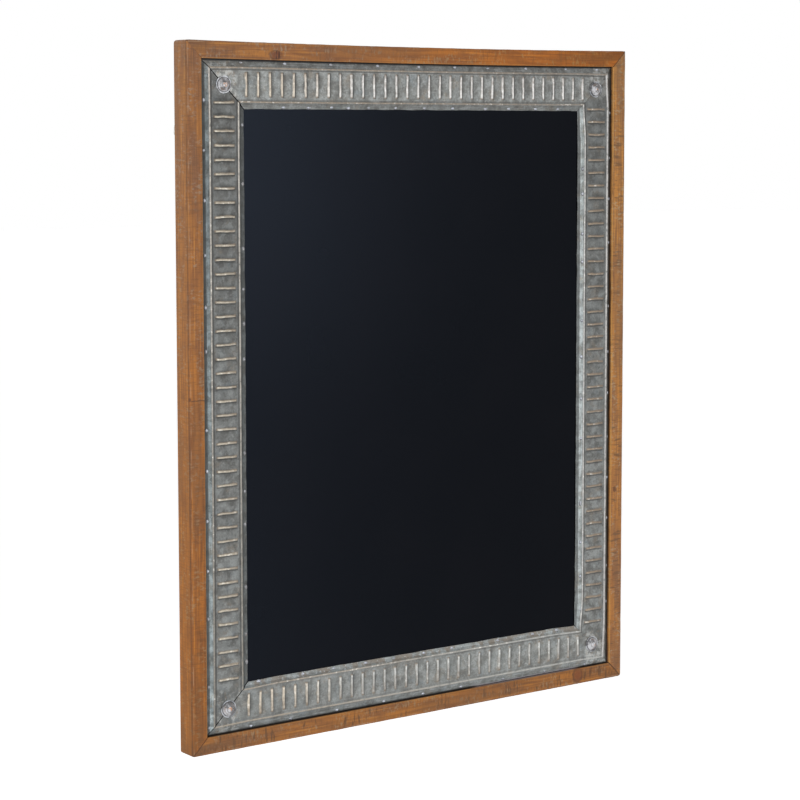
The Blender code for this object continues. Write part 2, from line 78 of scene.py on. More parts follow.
# Each side: its turn about Y from the top side's place, its reach from the middle and half its length
SIDES = {
    "top": (0.0, HALF_HEIGHT, HALF_WIDTH),
    "bottom": (math.pi, HALF_HEIGHT, HALF_WIDTH),
    "left": (-math.pi / 2, HALF_WIDTH, HALF_HEIGHT),
    "right": (math.pi / 2, HALF_WIDTH, HALF_HEIGHT),
}
# Each side's corners at its low and its high end: how far rounded, and how dark their mitre shows
CORNER_ROUNDS = {
    "top": (0.0036, 0.0010),
    "bottom": (0.0036, 0.0030),
    "left": (0.0030, 0.0036),
    "right": (0.0010, 0.0036),
}
MITRE_DIRT = {"top": (0.0, 0.6), "bottom": (0.7, 0.6), "left": (0.6, 0.0), "right": (0.6, 0.7)}


class Wire:
    """A socket of a finish's node tree, so that a finish is written as sums."""

    def __init__(self, tree, socket=None):
        self.tree = tree
        self.socket = socket

    def node(self, kind, settings=(), output=0, **sockets):
        """A new node: its settings are made first, then its sockets get a value or a link each."""
        made = self.tree.nodes.new(kind)
        for name, value in dict(settings).items():
            setattr(made, name, value)
        for name, value in sockets.items():
            place = int(name[1:]) if name[0] == "_" else name.replace("_", " ")
            if isinstance(value, Wire):
                self.tree.links.new(value.socket, made.inputs[place])
            else:
                made.inputs[place].default_value = value
        return Wire(self.tree, made.outputs[output])

    def sum(self, operation, first, second=0.0):
        return self.node("ShaderNodeMath", {"operation": operation}, _0=first, _1=second)

    def __add__(self, other):
        return self.sum("ADD", self, other)

    def __radd__(self, other):
        return self.sum("ADD", other, self)

    def __sub__(self, other):
        return self.sum("SUBTRACT", self, other)

    def __rsub__(self, other):
        return self.sum("SUBTRACT", other, self)

    def __mul__(self, other):
        return self.sum("MULTIPLY", self, other)

    def __rmul__(self, other):
        return self.sum("MULTIPLY", other, self)

    def __truediv__(self, other):
        return self.sum("DIVIDE", self, other)

    def __abs__(self):
        return self.sum("ABSOLUTE", self)

    def most(self, other):
        return self.sum("MAXIMUM", self, other)

    def rise(self, start, end):
        """0 below start, 1 above end, eased between; start may be the larger, and then it falls."""
        if start > end:
            return 1 - self.rise(end, start)
        settings = {"interpolation_type": "SMOOTHSTEP"}
        return self.node("ShaderNodeMapRange", settings, Value=self, From_Min=start, From_Max=end)

    def near(self, place, width):
        """1 at the place, falling to 0 at width from it."""
        return abs(self - place).rise(width, 0.0)

    def clouds(self, scale, detail=3.0, roughness=0.55, stretch=(1.0, 1.0, 1.0), move=(0.0, 0.0, 0.0)):
        """Noise read at this vector, between 0 and 1; stretch gives its scale along each axis."""
        place = self.node("ShaderNodeMapping", Vector=self, Scale=stretch, Location=move)
        return self.node("ShaderNodeTexNoise", Vector=place, Scale=scale, Detail=detail, Roughness=roughness)

    def blend(self, low, high):
        """The colour low where this is 0 and high where it is 1."""
        settings = {"data_type": "RGBA", "clamp_factor": True}
        low = (*low, 1.0) if isinstance(low, tuple) else low
        high = (*high, 1.0) if isinstance(high, tuple) else high
        return self.node("ShaderNodeMix", settings, output=2, _0=self, _6=low, _7=high)

    def coated(self, *coats):
        """This colour under coats, each given as how far it covers what is below it, and its own colour."""
        colour = self
        for cover, tint in coats:
            colour = cover.blend(colour, tint)
        return colour

    def tinted(self, tint):
        """This colour times another."""
        settings = {"data_type": "RGBA", "blend_type": "MULTIPLY"}
        return self.node("ShaderNodeMix", settings, output=2, _0=1.0, _6=self, _7=tint)

    def between(self, low, high):
        """The number low where this is 0 and high where it is 1."""
        return self * (high - low) + low

    def bump(self, strength, distance):
        """The surface's direction, as this height disturbs it."""
        return self.node("ShaderNodeBump", Strength=strength, Distance=distance, Height=self)

    def split(self):
        return [self.node("ShaderNodeSeparateXYZ", output=axis, Vector=self) for axis in range(3)]

    def length(self, x, y, z):
        """The length of the vector that three numbers make."""
        vector = self.node("ShaderNodeCombineXYZ", X=x, Y=y, Z=z)
        return self.node("ShaderNodeVectorMath", {"operation": "LENGTH"}, output=1, _0=vector)

    def stored(self, name):
        """The three numbers that a mesh keeps under a name."""
        return self.node("ShaderNodeAttribute", {"attribute_name": name}, output=1)

    def place(self):
        """Where a point lies in its object's own frame."""
        return self.node("ShaderNodeTexCoord", output=3)


def new_finish(name):
    """A material, its Principled shader and a wire to build on."""
    made = bpy.data.materials.new(name)
    made.use_nodes = True
    return made, made.node_tree.nodes["Principled BSDF"], Wire(made.node_tree)


def connect(shader, **sockets):
    """Gives a shader's sockets a value or a wire each."""
    for name, value in sockets.items():
        socket = shader.inputs[name.replace("_", " ")]
        if isinstance(value, Wire):
            value.tree.links.new(value.socket, socket)
        else:
            socket.default_value = value


def primitive(add, name, scale=(1.0, 1.0, 1.0), **settings):
    """A new object from one of the primitives, with its place, turn and scale applied to its mesh."""
    bpy.ops.object.select_all(action="DESELECT")
    add(**settings)
    made = bpy.context.object
    made.name = name
    made.scale = scale
    bpy.ops.object.transform_apply(location=True, rotation=True, scale=True)
    return made


def paint(made, finish):
    """Gives an object one material and no other."""
    made.data.materials.clear()
    made.data.materials.append(finish)


def smooth(made, degrees):
    """Shades an object smooth, apart from its edges of more than an angle."""
    made.data.shade_smooth()
    made.data.set_sharp_from_angle(angle=math.radians(degrees))


def rail_point(side, point):
    """A point of the frame as a side sees it: along its length, in from the outer edge, and its depth."""
    turn, reach, _ = SIDES[side]
    local = Matrix.Rotation(-turn, 3, "Y") @ (point - Vector((0.0, 0.0, CENTRE_Z)))
    return local.x, reach - local.z, point.y - FRONT_Y


def bow(side, along):
    """How far a side's inner arris bows toward the writing face at a place along its length."""
    return INNER_BOWS[side] * (1 - (along / SIDES[side][2]) ** 2)


def rounded(side, along, inset):
    """How far a point near an outer corner moves along its side and inward, so that the corner is round."""
    radius = CORNER_ROUNDS[side][0 if along < 0 else 1]
    across = Vector((radius - (SIDES[side][2] - abs(along)), radius - inset))
    if min(across) <= 0 or across.length == 0:
        return 0.0, 0.0
    moved = across * (max(across) / across.length)
    return math.copysign(across.x - moved.x, -along), across.y - moved.y


def store(mesh, name, vectors):
    kept = mesh.attributes.new(name, "FLOAT_VECTOR", "POINT")
    for item, vector in zip(kept.data, vectors):
        item.vector = vector


def only(made):
    """Makes one object the active one, with nothing else selected."""
    bpy.ops.object.select_all(action="DESELECT")
    bpy.context.view_layer.objects.active = made
    made.select_set(True)


def apply_all(made):
    only(made)
    for modifier in list(made.modifiers):
        bpy.ops.object.modifier_apply(modifier=modifier.name)


def solid_copy(node, name):
    """A copy of a solid's mesh, its loose triangles joined into one skin."""
    made = bpy.data.objects.new(name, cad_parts[node].data.copy())
    bpy.context.scene.collection.objects.link(made)
    made.data.materials.clear()
    only(made)
    bpy.ops.object.mode_set(mode="EDIT")
    bpy.ops.mesh.select_all(action="SELECT")
    bpy.ops.mesh.customdata_custom_splitnormals_clear()
    bpy.ops.mesh.remove_doubles(threshold=0.00001)
    bpy.ops.object.mode_set(mode="OBJECT")
    return made


# Each side's knot: its place along the rail and in from the outer edge, its half length and its half width
KNOTS = {
    "top": (-0.1905, 0.0136, 0.0080, 0.0042),
    "bottom": (-0.2312, 0.0115, 0.0072, 0.0086),
    "left": (0.0040, 0.0006, 0.0022, 0.0020),
    "right": (0.1460, 0.0120, 0.0030, 0.0024),
}
# The colour of each knot's heart
KNOT_HEARTS = {
    "top": (0.165, 0.055, 0.030),
    "bottom": (0.205, 0.062, 0.024),
    "left": (0.110, 0.046, 0.028),
    "right": (0.120, 0.050, 0.030),
}
# How far a side's stain has turned red or faded toward its low and its high end
END_TINTS = {
    "top": ((1.00, 1.08, 1.16), (1.10, 0.85, 0.36)),
    "bottom": ((0.95, 0.93, 0.76), (0.98, 0.98, 0.86)),
    "left": ((0.99, 0.87, 0.58), (0.99, 1.05, 1.14)),
    "right": ((1.24, 1.38, 1.24), (1.18, 1.24, 1.20)),
}
# How dark each side's saw marks are, in patches and all over, and how strong the worn stain and painted
# highlight along its inner arris are
SAW_MARKS = {"top": 0.30, "bottom": 0.75, "left": 0.35, "right": 0.70}
COMB_MARKS = {"top": 0.16, "bottom": 0.22, "left": 0.30, "right": 0.36}
EDGE_LIGHTS = {"top": 0.25, "bottom": 0.20, "left": 0.60, "right": 0.70}
# Where a short crack runs across the left stile, from its knot
CRACK_PLACE = 0.0022
# Toward the right end of the bottom rail the painted shade in the gap beside the steel fades out and comes
# back:
# the places along the world's X between which it fades, each way
GAP_FADES = ((0.070, 0.085), (0.225, 0.240))


def painted_gap_shade(across):
    """1 where the gap beside the bottom rail is painted dark as shade, and 0 where that painted shade fades
    out, at the world's X.
    """
    (fade_start, fade_end), (back_start, back_end) = GAP_FADES
    return across.rise(fade_end, fade_start).most(across.rise(back_start, back_end))


def timber_finish(side):
    """Stained softwood: growth lines along the rail, bent round its knots, under a blotchy worn stain."""
    made, shader, wire = new_finish(f"stained_softwood_{side}")
    place = wire.stored("grain")
    along, inset, depth = place.split()
    half_span = SIDES[side][2]
    knot_along, knot_inset, half_length, half_width = KNOTS[side]
    across = (inset - knot_inset) / half_width
    knot = wire.length((along - knot_along) / half_length, across, depth / half_width)
    flow = across * knot.rise(3.2, 0.6) * (0.5 * half_width)
    sway = place.clouds(1.0, 2.0, 0.5, (3.5, 40.0, 40.0))
    wobble = place.clouds(1.0, 3.0, 0.6, (16.0, 120.0, 120.0))
    pith = wire.length(0.0, inset + PITH_INSET - flow, depth - PITH_DEPTH)
    rings = (pith + (sway - 0.5) * 0.020 + (wobble - 0.5) * 0.0022) / RING_PITCH
    phase = wire.sum("FRACT", rings)
    late = phase.rise(0.35, 0.86) * phase.rise(1.0, 0.93)
    fibre = place.clouds(1.0, 2.0, 0.6, (55.0, 1500.0, 1500.0))
    streak = place.clouds(1.0, 3.0, 0.6, (9.0, 420.0, 420.0), (1.7, 0.3, 0.9))
    blotch = place.clouds(1.0, 4.0, 0.6, (22.0, 75.0, 75.0), (4.1, 0.0, 2.2))
    combs = place.clouds(1.0, 2.0, 0.6, (620.0, 70.0, 70.0))
    dashes = place.clouds(1.0, 2.0, 0.6, (300.0, 55.0, 55.0), (2.0, 7.0, 5.0))
    rough = place.clouds(1.0, 2.0, 0.5, (26.0, 60.0, 60.0), (9.0, 4.0, 0.0))
    bare = place.clouds(1.0, 2.0, 0.5, (34.0, 90.0, 90.0), (5.0, 1.0, 8.0))
    silver = place.clouds(1.0, 3.0, 0.6, (330.0, 170.0, 170.0), (8.3, 2.0, 0.0))
    smoke = place.clouds(1.0, 3.0, 0.6, (7.0, 60.0, 60.0), (6.0, 2.0, 3.0))
    worn = place.clouds(1.0, 3.0, 0.6, (30.0, 30.0, 30.0), (0.0, 5.0, 1.0))
    patches = dashes.rise(0.52, 0.64) * rough.rise(0.40, 0.58)
    sawn = (combs.rise(0.50, 0.64) * COMB_MARKS[side]).most(patches * SAW_MARKS[side])
    grime = (abs(along) + inset).rise(half_span - 0.050, half_span - 0.004) * rough.rise(0.42, 0.60)
    # Painted light: the outer side face is tinted a little lighter
    side_face_light = inset.rise(0.0016, 0.0004) * depth.rise(0.0014, 0.0030)
    stain = blotch.rise(0.30, 0.70).blend((0.285, 0.118, 0.050), (0.500, 0.194, 0.046))
    colour = stain.coated(
        (late * (0.22 + 0.30 * streak), (0.205, 0.078, 0.030)),
        (fibre.rise(0.50, 0.75) * 0.30, (0.155, 0.072, 0.036)),
        (streak.rise(0.52, 0.70) * 0.60, (0.620, 0.262, 0.066)),
        (streak.rise(0.46, 0.32) * 0.50, (0.185, 0.080, 0.040)),
        (silver.rise(0.50, 0.62) * bare.rise(0.44, 0.58) * 0.70, (0.390, 0.265, 0.175)),
        (sawn, (0.110, 0.058, 0.034)),
        (smoke.rise(0.50, 0.64) * 0.42, (0.205, 0.100, 0.054)),
        (grime * 0.40, (0.150, 0.078, 0.046)),
        (side_face_light * 0.09, (0.780, 0.420, 0.190)),
    )
    colour = colour.tinted(along.rise(-half_span, half_span).blend(*END_TINTS[side]))
    # Along its arrises the stain is worn off and rubbed dark, with a painted highlight on the inner arris,
    # and the wall beside the steel is painted dark as shade
    corner = inset.near(0.0002, 0.0011) * depth.rise(0.0030, 0.0016)
    beside = inset.near(0.0019, 0.0009) * depth.rise(0.0010, 0.0003)
    inner_arris = inset.rise(RAIL_FACE - 0.0020, RAIL_FACE - 0.0007) * depth.rise(0.0030, 0.0006)
    colour = colour.coated(
        (corner * worn.rise(0.25, 0.50) * 0.55, (0.120, 0.062, 0.036)),
        (beside * worn.rise(0.45, 0.60) * 0.45, (0.560, 0.380, 0.250)),
        (inner_arris * worn.rise(0.20, 0.50) * EDGE_LIGHTS[side], (0.700, 0.350, 0.095)),
    )
    # Painted shade: the wall beside the steel is painted near black; where the gap's painted shade fades out
    # along the bottom rail, it is painted a lighter lilac grey instead
    wall = inset.rise(RAIL_FACE - 0.0005, RAIL_FACE - 0.0001) * depth.rise(0.0004, 0.0012)
    if side == "bottom":
        dark = painted_gap_shade(0 - along)
        colour = colour.coated((wall * (1 - dark) * 0.80, (0.300, 0.255, 0.270)))
        wall = wall * dark
    colour = colour.coated((wall * 0.96, (0.012, 0.006, 0.004)))
    if side == "left":
        crack = along.near(CRACK_PLACE + (wobble - 0.5) * 0.004, 0.0011) * inset.rise(0.0010, 0.0030)
        colour = colour.coated((crack * 0.80, (0.105, 0.052, 0.032)))
    knot = knot + (blotch - 0.5) * 0.5
    heart = knot.rise(1.10, 0.45)
    rim = knot.near(0.95, 0.38) * rough.rise(0.30, 0.60)
    colour = colour.coated((heart * 0.80, KNOT_HEARTS[side]), (rim * 0.65, (0.085, 0.034, 0.022)))
    if side == "top":
        stroke = place.clouds(1.0, 2.0, 0.5, (330.0, 60.0, 60.0), (1.0, 3.0, 2.0))
        strokes = knot.rise(1.15, 0.80) * stroke.rise(0.50, 0.58)
        colour = colour.coated((strokes * 0.85, (0.058, 0.022, 0.016)))
    mitre = (abs(along) + inset).rise(half_span - 0.0016, half_span - 0.0002)
    dirt = mitre * along.rise(-0.01, 0.01).between(*MITRE_DIRT[side])
    height = fibre * 0.35 + late * 0.4 + blotch * 0.2 - sawn * 0.8
    connect(
        shader,
        Base_Color=colour.coated((dirt, (0.100, 0.050, 0.030))),
        Roughness=0.56 + 0.20 * fibre,
        Normal=height.bump(0.55, 0.00035),
        Specular_IOR_Level=0.30,
    )
    return made


for side, node in RAIL_NODES.items():
    rail = solid_copy(node, f"timber_{side}")
    along_axis = Matrix.Rotation(SIDES[side][0], 3, "Y") @ Vector((1.0, 0.0, 0.0))
    toward_board = Matrix.Rotation(SIDES[side][0], 3, "Y") @ Vector((0.0, 0.0, -1.0))
    half_span = SIDES[side][2]
    cuts = int(2 * half_span / ARRIS_CUT)
    places = [half_span * (2 * cut / cuts - 1) for cut in range(1, cuts)]
    places += [sign * (half_span - step) for sign in (-1, 1) for step in CORNER_CUTS]
    bpy.ops.object.mode_set(mode="EDIT")
    for place in places:
        bpy.ops.mesh.select_all(action="SELECT")
        bpy.ops.mesh.bisect(plane_co=Vector((0.0, 0.0, CENTRE_Z)) + along_axis * place, plane_no=along_axis)
    bpy.ops.object.mode_set(mode="OBJECT")
    edge = rail.vertex_groups.new(name="arrises")
    front = []
    for vert in rail.data.vertices:
        along, inset, depth = rail_point(side, vert.co)
        if depth < ARRIS_REACH and not ARRIS_REACH < inset < RAIL_FACE - ARRIS_REACH:
            front.append(vert.index)
    edge.add(front, 1.0, "REPLACE")
    waver = bpy.data.textures.new("arris_waver", "CLOUDS")
    waver.noise_scale = ARRIS_WAVE
    wear = rail.modifiers.new("worn arrises", "DISPLACE")
    wear.texture = waver
    wear.mid_level = 0.0
    wear.strength = -ARRIS_WEAR
    wear.vertex_group = edge.name
    apply_all(rail)
    store(rail.data, "grain", [rail_point(side, vert.co) for vert in rail.data.vertices])
    for vert in rail.data.vertices:
        along, inset, depth = rail_point(side, vert.co)
        if inset > RAIL_FACE - ARRIS_REACH and depth < LIP_DEPTH:
            vert.co += toward_board * bow(side, along)
        slide, sink = rounded(side, along, inset)
        if MITRE_DIRT[side][0 if along < 0 else 1] == 0 and abs(along) + inset > half_span - MITRE_EDGE:
            slide += math.copysign(MITRE_CLOSED, along)
        vert.co += along_axis * slide + toward_board * sink
    smooth(rail, 38)
    paint(rail, timber_finish(side))
    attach(rail, "frame")
    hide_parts(node)

# Steel strips: galvanised sheet, folded to a sloped flange, a bead, a flat channel, a second bead and a
# second flange, with short ribs pressed up across the channel. The ends are cut to a mitre by hand, and
# years of rubbing have left the zinc bare and warm along every bead and rib, under painted highlights.
SHEET = 0.0005
FOOT_DEPTH = 0.0040
STEP_DEPTH = 0.0031
CHANNEL_DEPTH = 0.0017
CREST_DEPTH = 0.0006
STRIP_OUTER = 0.0197
BEAD_OUTER = 0.0278
BEAD_INNER = 0.0634
STEP_INSET = 0.0668
STRIP_INNER = 0.0710
BEAD_HALF = 0.0014
RIB_PITCH = 0.01487
RIB_LENGTH = 0.0264
RIB_RISE = 0.00105
RIB_DRAFT = 0.00125
CELLS_PER_PITCH = 4
BAND_ROWS = 6
CREST_BEVEL = 0.0009
FOOT_BEVEL = 0.0004
# How many ribs each side has, and how far their row is shifted along the side
RIB_COUNTS = {"top": 32, "bottom": 32, "left": 42, "right": 42}
RIB_SHIFTS = {"top": 0.0040, "bottom": -0.0018, "left": 0.0065, "right": -0.0020}
# How far inward each side's outer bead, inner bead and inner edge lie from their even places, away from
# the mitres, where all four sides meet
STRAYS = {
    "top": (-0.0006, 0.0004, 0.0),
    "bottom": (0.0010, 0.0014, 0.0008),
    "left": (0.0004, -0.0002, 0.0003),
    "right": (-0.0020, -0.0030, -0.0008),
}
STRAY_FADE = 0.045
# Which way along a side its ribs' shaded flank lies
LEES = {"top": 1, "bottom": -1, "left": -1, "right": 1}
# How bright a side's sheet is at its left or top end and at the other. Against that, the painted light and
# shade that each slope gets by how it faces the lamps: its outer flange, the step beside its inner bead, also
# from end to end, and the rim on the panel
TONES = {"top": (1.03, 0.99), "bottom": (0.96, 1.22), "left": (0.42, 0.72), "right": (0.56, 0.94)}
FLANGE_TONES = {
    "top": (0.88, (0.82, 0.82), 0.76),
    "bottom": (1.00, (1.12, 1.12), 1.06),
    "left": (1.95, (0.66, 0.66), 0.72),
    "right": (0.92, (3.20, 1.90), 0.66),
}
# How much painted bluish reflection a side's outer flange and step get
FLANGE_REFLECTED_BLUES = {"top": (0.0, 0.0), "bottom": (0.3, 0.3), "left": (1.0, 0.4), "right": (0.5, 0.5)}
# How much painted shade lies beside each side's outer and inner bead, and how far in from the timber its edge
# is painted dark as the timber's shadow
FOLD_SHADE = {"top": (0.90, 0.45), "bottom": (0.30, 0.10), "left": (0.85, 0.80), "right": (0.25, 0.65)}
EDGE_SHADOW = {"top": 0.0213, "bottom": 0.0213, "left": 0.0236, "right": 0.0240}
# How strong each side's small spots are, its smeared patches, its ribs' shadows and their brown flanks
DAPPLES = {"top": 0.50, "bottom": 0.34, "left": 0.32, "right": 0.28}
SMEARS = {"top": 0.48, "bottom": 0.44, "left": 0.75, "right": 0.64}
SHADES = {"top": 1.00, "bottom": 0.55, "left": 0.70, "right": 0.85}
FLANKS = {"top": 0.15, "bottom": 0.35, "left": 0.55, "right": 0.45}
# The crests of a side's beads, rubbed bare under a painted highlight, at its left or top end and at the other
BEAD_TINTS = {
    "top": ((0.320, 0.255, 0.190), (0.300, 0.250, 0.200)),
    "bottom": ((0.400, 0.340, 0.270), (0.500, 0.500, 0.475)),
    "left": ((0.600, 0.560, 0.500), (0.300, 0.275, 0.235)),
    "right": ((0.640, 0.630, 0.610), (0.590, 0.580, 0.560)),
}
# The tops of a side's ribs, rubbed bare under a painted highlight; how far down their flanks and the beads'
# the bare metal and its highlight reach, in pitches and in metres; and how much brighter the painted
# highlight makes the ribs' inner ends than their outer ones
RIB_TINTS = {
    "top": (0.980, 0.975, 0.960),
    "bottom": (0.640, 0.660, 0.645),
    "left": (0.610, 0.550, 0.440),
    "right": (0.360, 0.280, 0.200),
}
RIB_SPREADS = {"top": 0.120, "bottom": 0.122, "left": 0.095, "right": 0.090}
BEAD_SPREADS = {"top": 0.0015, "bottom": 0.0015, "left": 0.0015, "right": 0.0024}
RIB_END_HIGHLIGHTS = {"top": 0.15, "bottom": 0.35, "left": -0.28, "right": 0.50}
# Gap at each end of a strip, at its low and its high end as the side runs
MITRE_GAPS = {
    "top": (0.0006, 0.0001),
    "bottom": (0.0001, 0.0005),
    "left": (0.0005, 0.0006),
    "right": (0.0001, 0.0001),
}
BAND_MIDDLE = (BEAD_OUTER + BEAD_INNER) / 2
BOW_FADE = 0.003
DENT_SIZE = 0.02
DENT_DEPTH = 0.0005
# How far the inner rim waves, and how fast along the side: within the sheet's plane and out of it
FLANGE_WAVE = 0.0005
RIM_WAVE_ALONG = 55
RIM_WAVE_OUT = 38


def choose(made, mode, test):
    """In edit mode, selects only the edges whose ends, or the faces whose middles, pass the test."""
    bpy.ops.mesh.select_mode(type=mode)
    bpy.ops.mesh.select_all(action="DESELECT")
    shape = bmesh.from_edit_mesh(made.data)
    if mode == "EDGE":
        for edge in shape.edges:
            edge.select = all(test(vert.co) for vert in edge.verts)
    else:
        for face in shape.faces:
            face.select = test(face.calc_center_median())
    shape.select_flush_mode()
    bmesh.update_edit_mesh(made.data)


def extrude_to(made, start, stops):
    """Extrudes the edges at an inset and depth along a fold, one stretch for each further inset and depth."""
    inset, depth = start
    choose(made, "EDGE", lambda point: abs(point.z + inset) < SHEET / 2)
    for next_inset, next_depth in stops:
        step = (0.0, next_depth - depth, inset - next_inset)
        bpy.ops.mesh.extrude_region_move(TRANSFORM_OT_translate={"value": step})
        inset, depth = next_inset, next_depth


def stray(side, along, inset):
    """How far inward a side's sheet lies from its even place, at a place along it and an inset."""
    marks = (STRIP_OUTER, BEAD_OUTER, BEAD_INNER, STRIP_INNER)
    strays = (0.0, *STRAYS[side])
    fade = min(1.0, max(0.0, (SIDES[side][2] - inset - abs(along)) / STRAY_FADE))
    for stretch in range(3):
        share = (inset - marks[stretch]) / (marks[stretch + 1] - marks[stretch])
        if 0 <= share < 1 or stretch == 2 and share >= 1:
            moved = strays[stretch] + (strays[stretch + 1] - strays[stretch]) * min(share, 1.0)
            return moved * fade * fade * (3 - 2 * fade)
    return 0.0


def strip_finish(side):
    """Galvanised sheet: mottled zinc, rubbed warm along beads and ribs under painted highlights; painted
    light and shade on the flanges, and painted shade in the folds and by the timber.
    """
    made, shader, wire = new_finish(f"galvanised_steel_{side}")
    place = wire.place()
    strip = wire.stored("strip")
    along, inset, _ = strip.split()
    broad = place.clouds(38.0, 3.0, 0.55)
    patch = place.clouds(150.0, 4.0, 0.62)
    grit = place.clouds(700.0, 3.0, 0.65)
    tint = place.clouds(70.0, 3.0, 0.6, move=(3.0, 1.0, 7.0))
    rub = place.clouds(210.0, 3.0, 0.6, move=(5.0, 2.0, 1.0))
    spark = place.clouds(330.0, 2.0, 0.5, move=(1.0, 8.0, 3.0))
    dapple = place.clouds(460.0, 3.0, 0.65, move=(2.0, 6.0, 4.0))
    smear = place.clouds(95.0, 3.0, 0.6, move=(4.0, 4.0, 2.0))
    drawn = strip.clouds(1.0, 3.0, 0.6, (45.0, 900.0, 900.0))
    flecks = dapple.rise(0.54, 0.68) * patch.rise(0.40, 0.60)
    outer_flange = inset.rise(BEAD_OUTER - 0.0006, BEAD_OUTER - 0.0018)
    inner_flange = inset.rise(BEAD_INNER + 0.0006, BEAD_INNER + 0.0018)
    flange = outer_flange.most(inner_flange)
    last = RIB_COUNTS[side] / 2 * RIB_PITCH
    beyond = abs(along).rise(last + 0.0020, last + 0.0080)
    zinc = patch.rise(0.34, 0.68).blend((0.125, 0.126, 0.118), (0.240, 0.246, 0.238))
    colour = zinc.coated(
        (broad.rise(0.40, 0.66) * 0.55, (0.240, 0.256, 0.252)),
        (tint.rise(0.54, 0.72) * 0.50, (0.225, 0.180, 0.130)),
        (tint.rise(0.44, 0.25) * 0.50, (0.185, 0.222, 0.245)),
        (smear.rise(0.52, 0.64) * SMEARS[side], (0.330, 0.345, 0.338)),
        (smear.rise(0.47, 0.35) * SMEARS[side], (0.082, 0.081, 0.075)),
        (drawn.rise(0.55, 0.70) * 0.25, (0.360, 0.370, 0.365)),
        (flecks * DAPPLES[side], (0.420, 0.430, 0.420)),
        (dapple.rise(0.46, 0.34) * DAPPLES[side], (0.072, 0.071, 0.064)),
        (grit.rise(0.56, 0.75) * 0.25, (0.075, 0.073, 0.068)),
        (spark.rise(0.66, 0.76) * 0.30, (0.560, 0.570, 0.560)),
        (flange * drawn.rise(0.54, 0.70) * 0.5, (0.400, 0.410, 0.415)),
        (flange * drawn.rise(0.46, 0.30) * 0.5, (0.085, 0.084, 0.078)),
        (beyond * patch.rise(0.48, 0.58) * 0.60, (0.480, 0.480, 0.460)),
        (beyond * rub.rise(0.48, 0.36) * 0.45, (0.235, 0.180, 0.130)),
    )
    # Phase is where a point lies between one rib and the next; each rib has a top rubbed bare under a painted
    # highlight, a brown flank and a flank painted dark as shade
    bead = inset.near(BEAD_OUTER, BEAD_SPREADS[side]).most(inset.near(BEAD_INNER, 0.0015)).rise(0.1, 0.6)
    phase = wire.sum("FRACT", along / RIB_PITCH + 64.0) - 0.5 + (tint - 0.5) * 0.20
    within = abs(inset - BAND_MIDDLE).rise(RIB_LENGTH / 2 + 0.0002, RIB_LENGTH / 2 - 0.0008)
    within = within * abs(along).rise(last + 0.0005, last - 0.0005)
    rib = phase.near(-0.015, RIB_SPREADS[side]).rise(0.0, 0.55) * within
    flank = phase.near(-0.095, 0.050) * within
    shade = phase.near(0.115, 0.090) * within
    # Painted shade in the folds beside the beads, and along the flange's edge, where the timber's shadow
    # falls
    outer_fold_shade, inner_fold_shade = FOLD_SHADE[side]
    inner_fold = inset.near(BEAD_INNER - 0.0021, 0.0012)
    fold = (inset.near(BEAD_OUTER + 0.0023, 0.0016) * outer_fold_shade).most(inner_fold * inner_fold_shade)
    edge = inset.rise(EDGE_SHADOW[side], EDGE_SHADOW[side] - 0.0010)
    bright_end = (inset - BAND_MIDDLE) * (RIB_END_HIGHLIGHTS[side] / (RIB_LENGTH / 2)) + 0.62
    # Painted shade along the edge by the timber fades out along part of the bottom strip; there the steel's
    # edge is painted a lighter lilac grey as lit
    if side == "bottom":
        dark = painted_gap_shade(along)
        colour = colour.coated(
            (inner_flange * tint.rise(0.47, 0.56) * 0.60, (0.150, 0.112, 0.080)),
            (inner_flange * spark.rise(0.60, 0.68) * 0.55, (0.420, 0.440, 0.450)),
            (edge * (1 - dark) * 0.70, (0.380, 0.360, 0.385)),
        )
        edge = edge * dark
        fold = fold.most(inner_fold * along.rise(0.0, 0.05) * 0.55)
    # Painted shade in the folds, along the edge by the timber and on each rib's lee flank
    colour = colour.coated(
        (fold.most(edge * 0.8), (0.045, 0.042, 0.038)),
        (shade * SHADES[side], (0.042, 0.040, 0.037)),
    )
    # How bright the sheet is, from end to end, with painted light and shade on each flange by how it faces
    # the lamps and a painted bluish reflection on its outer flange and step; then what is rubbed bare on top
    # of it, with painted highlights
    ends = along.rise(-last, last)
    outer_tone, step_tones, rim_tone = FLANGE_TONES[side]
    step_tone = ends.between(*step_tones)
    rim = inset.rise(STEP_INSET + 0.0004, STEP_INSET + 0.0014)
    tone = 1.0 + outer_flange * (outer_tone - 1.0) + inner_flange * (step_tone - 1.0)
    tone = (tone + rim * (rim_tone - step_tone)) * ends.between(*TONES[side])
    outer_blue, step_blue = FLANGE_REFLECTED_BLUES[side]
    blue = outer_flange * outer_blue + inner_flange * step_blue
    red = tone * (0.99 - 0.10 * blue)
    colour = colour.tinted(wire.node("ShaderNodeCombineXYZ", X=red, Y=tone, Z=tone * (1.0 + 0.06 * blue)))
    rib_tint = RIB_TINTS[side]
    if side in ("top", "bottom"):
        rib_tint = along.rise(-0.08, -0.20).blend(rib_tint, (0.820, 0.730, 0.600))
    tips = abs(inset - BAND_MIDDLE).rise(RIB_LENGTH / 2 - 0.0004, RIB_LENGTH / 2 - 0.0028)
    rib_colour = ((bright_end + (rub - 0.5) * 1.4) * tips).blend((0.210, 0.160, 0.115), rib_tint)
    # Painted highlight: near-white glints on the bead crests and rib tops
    painted_glint = bead.most(rib * tips) * rub.rise(0.56, 0.68) * bright_end
    colour = colour.coated(
        (bead * rub.rise(0.20, 0.55) * 0.85, ends.blend(*BEAD_TINTS[side])),
        (flank * FLANKS[side], (0.270, 0.200, 0.140)),
        (rib * 0.95, rib_colour),
        (painted_glint * 0.70, (0.900, 0.880, 0.820)),
    )
    height = patch * 0.5 + broad * 1.6 + grit * 0.12
    normal = height.bump(0.5, 0.0009)
    connect(shader, Base_Color=colour, Metallic=0.25, Roughness=0.34 + 0.20 * patch, Normal=normal)
    return made


